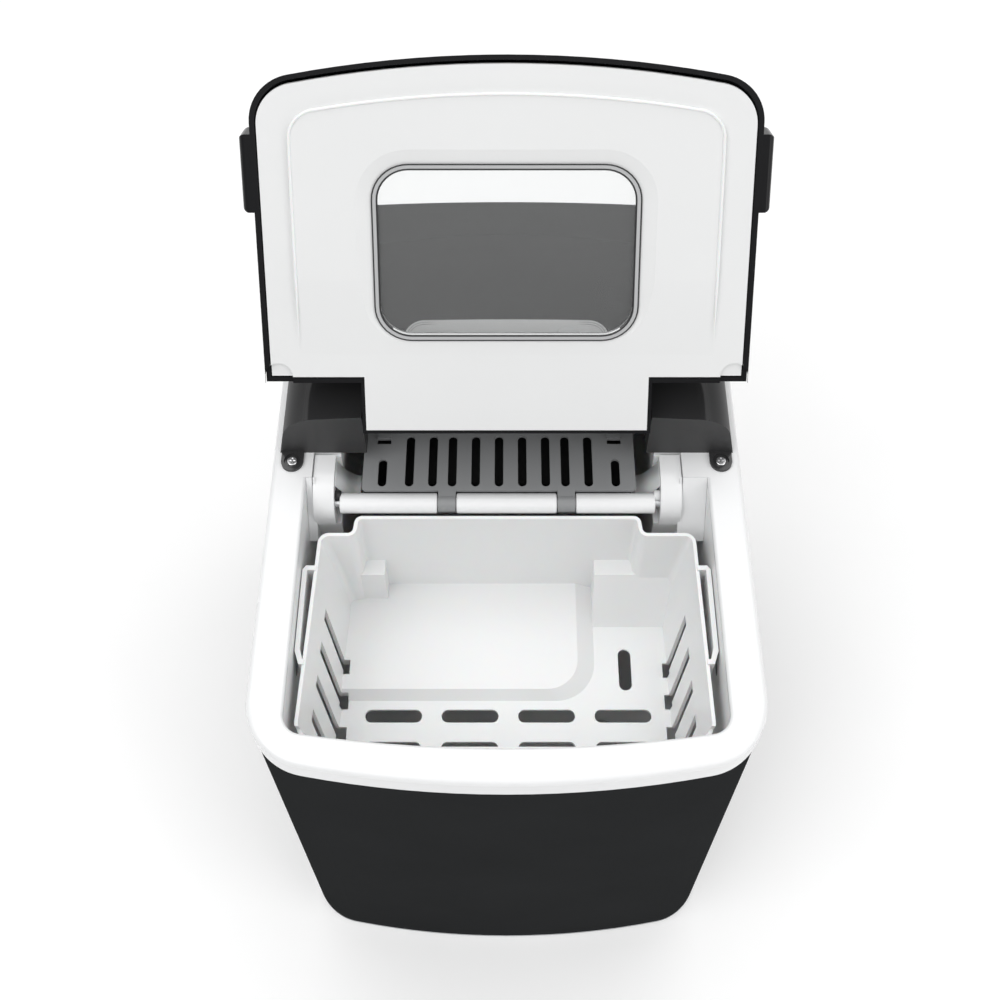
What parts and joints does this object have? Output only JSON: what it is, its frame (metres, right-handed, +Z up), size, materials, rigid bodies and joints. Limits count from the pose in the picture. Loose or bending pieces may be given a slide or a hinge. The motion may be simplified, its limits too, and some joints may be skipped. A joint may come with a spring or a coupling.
{
  "type": "countertop ice maker",
  "caption": "Countertop ice maker with a bowed dark shell, white collar, lift-out ice basket, tilting water tray and a hinged lid with a window, stored with its lid open.",
  "frame": {"origin": "middle of the footprint on the surface that the feet stand on", "axes": "+Z up, -Y towards the front, +X to the right seen from the front"},
  "size_m": [0.2276, 0.284, 0.4762],
  "materials": {
    "shell_paint": "satin dark grey",
    "white_abs": "smooth white",
    "black_abs": "glossy black",
    "black_matte": "fine matte black",
    "white_inner": "satin white",
    "smoke_plastic": "satin smoke grey",
    "label": "printed white film",
    "light_lens": "translucent",
    "clear_pane": "clear moulded pane",
    "grey_plastic": "satin grey",
    "foam": "foamed insulation",
    "zinc_steel": "zinc plated",
    "galvanised": "galvanised sheet",
    "screw_steel": "nickel plated",
    "nickel_copper": "nickel plated copper",
    "copper": "bare copper tube",
    "compressor_black": "black enamel",
    "aluminium": "plain fins and tube",
    "rubber": "matte",
    "hose": "translucent silicone",
    "board_green": "solder-masked laminate"
  },
  "bodies": {
    "housing": {"outer_shell": "shell_paint", "base_pan": "galvanised", "feet": "rubber", "top_collar": "white_abs", "tub": "white_inner", "tub_insulation": "foam", "rear_cover": "black_abs", "cover_screws": "screw_steel", "control_label": "label", "indicator_lights": "light_lens", "control_board": "board_green", "board_posts": "black_matte", "rear_panel": "black_matte", "rear_screws": "screw_steel", "cord_gland": "rubber", "cheek_left": "white_abs", "cheek_right": "white_abs", "tray_motor": "zinc_steel", "evaporator": "nickel_copper", "evaporator_carrier": "grey_plastic", "spout": "white_inner", "ice_sensors": "black_matte", "drain_fitting": "white_inner", "water_pump": "black_matte", "pump_hose": "hose", "pump_strainer": "grey_plastic", "compressor": "compressor_black", "compressor_mounts": "rubber", "compressor_bolts": "zinc_steel", "condenser": "aluminium", "fan_shroud": "black_matte", "fan_bracket": "zinc_steel", "fan_motor": "zinc_steel", "filter_drier": "copper", "suction_pipe": "copper", "discharge_pipe": "copper", "liquid_pipe": "copper", "capillary_tube": "copper", "hot_gas_valve": "zinc_steel", "hot_gas_pipe": "copper", "power_board": "board_green", "hinge_pins": "zinc_steel"},
    "lid": {"lid_shell": "black_abs", "lid_inner_panel": "white_inner", "window_ring": "grey_plastic", "lid_window": "clear_pane", "hinge_bushes": "grey_plastic"},
    "basket": {"ice_basket": "white_inner"},
    "tray": {"water_tray": "smoke_plastic", "tray_bar": "white_abs", "tray_pins": "zinc_steel"},
    "shovel": {"ice_shovel": "smoke_plastic"},
    "fan": {"fan_blade": "black_matte"},
    "power_key": {"power_button": "white_abs"},
    "drain_stopper": {"drain_plug": "rubber"}
  },
  "joints": [
    {"name": "lid_hinge", "type": "hinge", "parent": "housing", "child": "lid", "pos_m": [0, 0.0299, 0.32], "axis": [-1, 0, 0], "range_deg": [-122.3, 0]},
    {"name": "basket_lift", "type": "slide", "parent": "housing", "child": "basket", "axis": [0, 0, 1], "range_m": [0, 0.1]},
    {"name": "tray_tilt", "type": "hinge", "parent": "housing", "child": "tray", "pos_m": [0, -0.0065, 0.28], "axis": [1, 0, 0], "range_deg": [-40, 0]},
    {"name": "shovel_swing", "type": "hinge", "parent": "housing", "child": "shovel", "pos_m": [0, -0.0065, 0.28], "axis": [1, 0, 0], "range_deg": [-24, 0]},
    {"name": "fan_spin", "type": "hinge", "parent": "housing", "child": "fan", "pos_m": [0.054, 0.0932, 0.058], "axis": [0, 1, 0], "continuous": true},
    {"name": "power_press", "type": "slide", "parent": "housing", "child": "power_key", "axis": [0, 0, -1], "range_m": [0, 0.001], "stiffness_N_per_m": 400},
    {"name": "drain_pull", "type": "slide", "parent": "housing", "child": "drain_stopper", "axis": [-1, 0, 0], "range_m": [0, 0.012]}
  ],
  "couplings": [
    {"joint": "shovel_swing", "follows": "tray_tilt", "ratio": 0.6}
  ]
}
